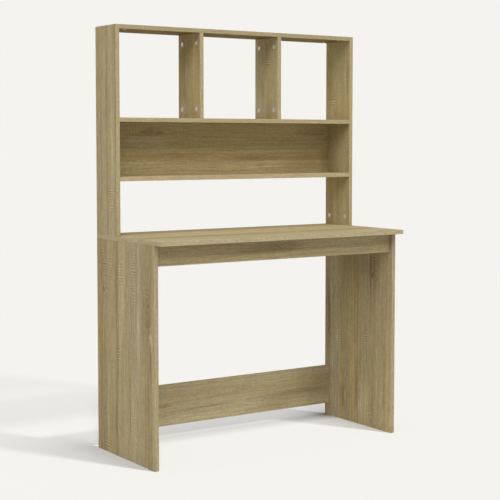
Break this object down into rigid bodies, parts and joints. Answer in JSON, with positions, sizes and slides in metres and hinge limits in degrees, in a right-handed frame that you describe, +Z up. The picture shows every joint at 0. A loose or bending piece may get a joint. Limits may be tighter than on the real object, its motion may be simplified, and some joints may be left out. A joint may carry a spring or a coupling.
{
  "type": "student desk with hutch",
  "caption": "Narrow writing desk of light oak boards: panel sides, a front rail, a rear stretcher and an open hutch of shelves, dividers and a low back panel above the worktop.",
  "frame": {"origin": "on the floor, below the middle of the desk's footprint", "axes": "+X to the right of a person sitting at the desk, +Y from that person to the hutch at the rear, +Z up"},
  "size_m": [1.02, 0.45, 1.48],
  "materials": {
    "oak_board": "light oak decor on chipboard, satin, with a paler matching edge band",
    "cast_zinc": "die-cast zinc, satin",
    "bolt_steel": "zinc-plated steel"
  },
  "bodies": {
    "root": {"desk_side_left": "oak_board", "desk_side_right": "oak_board", "desktop": "oak_board", "front_apron": "oak_board", "rear_stretcher": "oak_board", "hutch_side_left": "oak_board", "hutch_side_right": "oak_board", "hutch_top": "oak_board", "hutch_upper_shelf": "oak_board", "hutch_lower_shelf": "oak_board", "divider_left": "oak_board", "divider_right": "oak_board", "hutch_back_panel": "oak_board", "desk_side_cams": "cast_zinc", "front_apron_cams": "cast_zinc", "rear_stretcher_cams": "cast_zinc", "hutch_side_cams": "cast_zinc", "hutch_top_cams": "cast_zinc", "hutch_upper_shelf_cams": "cast_zinc", "hutch_lower_shelf_cams": "cast_zinc", "divider_left_cams": "cast_zinc", "divider_right_cams": "cast_zinc", "desk_side_bolts": "bolt_steel"}
  },
  "joints": []
}
